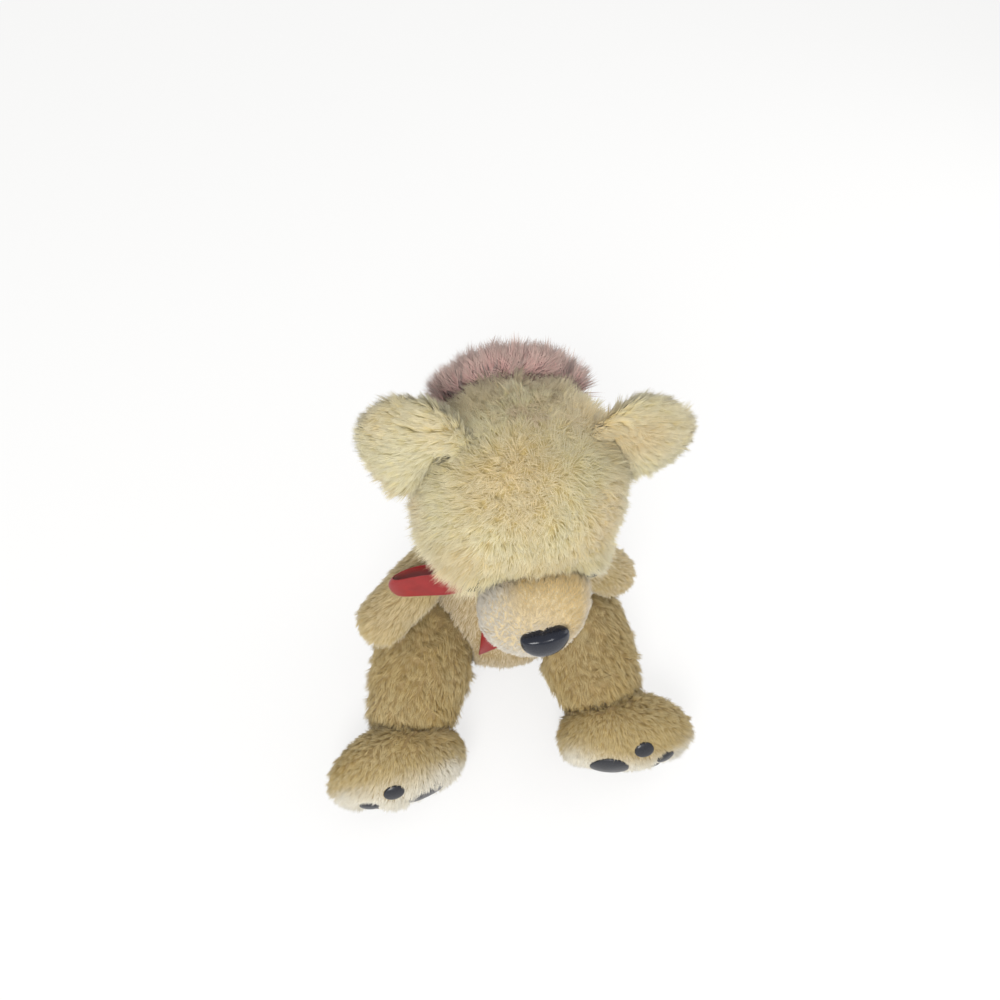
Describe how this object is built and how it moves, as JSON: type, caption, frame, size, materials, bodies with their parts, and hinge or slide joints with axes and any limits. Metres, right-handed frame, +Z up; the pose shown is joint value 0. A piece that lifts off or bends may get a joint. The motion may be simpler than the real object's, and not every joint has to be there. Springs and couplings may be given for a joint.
{
  "type": "teddy bear",
  "caption": "Sitting plush teddy bear with a large round head, short-pile muzzle, stuffed limbs that flex at their seams, vinyl foot pads and a satin neck bow.",
  "frame": {"origin": "middle of the flat seat under the body, on the surface the bear sits on", "axes": "+Z up, the bear faces -Y, +X is the bear's own left"},
  "size_m": [0.3703, 0.3102, 0.4128],
  "materials": {
    "cream_plush": "long pile, matte",
    "tan_plush": "long pile, matte",
    "muzzle_plush": "short pile, matte",
    "ivory_plush": "short pile, matte",
    "pink_plush": "very long pile, matte",
    "stuffing": "loose polyester fibre",
    "red_satin": "satin",
    "black_plastic": "gloss",
    "washer_plastic": "matte",
    "black_vinyl": "semi-gloss vinyl"
  },
  "bodies": {
    "body": {"body_cover": "tan_plush", "body_filling": "stuffing", "ribbon_band": "red_satin", "bow_knot": "red_satin", "bow_loop_left": "red_satin", "bow_loop_right": "red_satin", "bow_tail_left": "red_satin", "bow_tail_right": "red_satin"},
    "head": {"head_cover": "cream_plush", "head_filling": "stuffing", "muzzle_top": "muzzle_plush", "muzzle_chin": "ivory_plush", "muzzle_filling": "stuffing", "nose": "black_plastic", "nose_washer": "washer_plastic", "eye_left": "black_plastic", "eye_right": "black_plastic", "eye_washer_left": "washer_plastic", "eye_washer_right": "washer_plastic", "hair_tuft": "pink_plush"},
    "ear_left": {"ear_left": "cream_plush"},
    "ear_right": {"ear_right": "cream_plush"},
    "arm_left": {"arm_left_cover": "tan_plush", "arm_left_filling": "stuffing"},
    "arm_right": {"arm_right_cover": "tan_plush", "arm_right_filling": "stuffing"},
    "leg_left": {"leg_left_cover": "tan_plush", "leg_left_filling": "stuffing"},
    "leg_right": {"leg_right_cover": "tan_plush", "leg_right_filling": "stuffing"},
    "foot_left": {"foot_left_cover": "tan_plush", "foot_left_filling": "stuffing", "foot_left_sole": "ivory_plush", "foot_left_pad_main": "black_vinyl", "foot_left_pad_toe_upper": "black_vinyl", "foot_left_pad_toe_middle": "black_vinyl", "foot_left_pad_toe_lower": "black_vinyl"},
    "foot_right": {"foot_right_cover": "tan_plush", "foot_right_filling": "stuffing", "foot_right_sole": "ivory_plush", "foot_right_pad_main": "black_vinyl", "foot_right_pad_toe_upper": "black_vinyl", "foot_right_pad_toe_middle": "black_vinyl", "foot_right_pad_toe_lower": "black_vinyl"}
  },
  "joints": [
    {"name": "head_turn", "type": "hinge", "parent": "body", "child": "head", "pos_m": [0, 0, 0.2332], "axis": [0, 0, 1], "range_deg": [-46, 34], "stiffness_Nm_per_rad": 0.5},
    {"name": "ear_left_flop", "type": "hinge", "parent": "head", "child": "ear_left", "pos_m": [0.07121, -0.02549, 0.3579], "axis": [0.2741, 0.0288, -0.9613], "range_deg": [-16, 16], "stiffness_Nm_per_rad": 0.1},
    {"name": "ear_right_flop", "type": "hinge", "parent": "head", "child": "ear_right", "pos_m": [-0.06435, -0.03974, 0.3579], "axis": [0.2741, 0.0288, 0.9613], "range_deg": [-16, 16], "stiffness_Nm_per_rad": 0.1},
    {"name": "arm_left_swing", "type": "hinge", "parent": "body", "child": "arm_left", "pos_m": [0.068, -0.018, 0.17], "axis": [-1, 0, 0], "range_deg": [-4, 68], "stiffness_Nm_per_rad": 0.3},
    {"name": "arm_right_swing", "type": "hinge", "parent": "body", "child": "arm_right", "pos_m": [-0.068, -0.018, 0.17], "axis": [-1, 0, 0], "range_deg": [-57, 15], "stiffness_Nm_per_rad": 0.3},
    {"name": "leg_left_spread", "type": "hinge", "parent": "body", "child": "leg_left", "pos_m": [0.083, -0.034, 0.0505], "axis": [0, 0, 1], "range_deg": [-8, 30], "stiffness_Nm_per_rad": 0.8},
    {"name": "leg_right_spread", "type": "hinge", "parent": "body", "child": "leg_right", "pos_m": [-0.083, -0.05, 0.0505], "axis": [0, 0, -1], "range_deg": [-8, 30], "stiffness_Nm_per_rad": 0.8},
    {"name": "foot_left_flex", "type": "hinge", "parent": "leg_left", "child": "foot_left", "pos_m": [0.09965, -0.1061, 0.0435], "axis": [0, 0, 1], "range_deg": [-15, 15], "stiffness_Nm_per_rad": 0.5},
    {"name": "foot_right_flex", "type": "hinge", "parent": "leg_right", "child": "foot_right", "pos_m": [-0.09965, -0.1221, 0.0435], "axis": [0, 0, -1], "range_deg": [-15, 15], "stiffness_Nm_per_rad": 0.5}
  ]
}
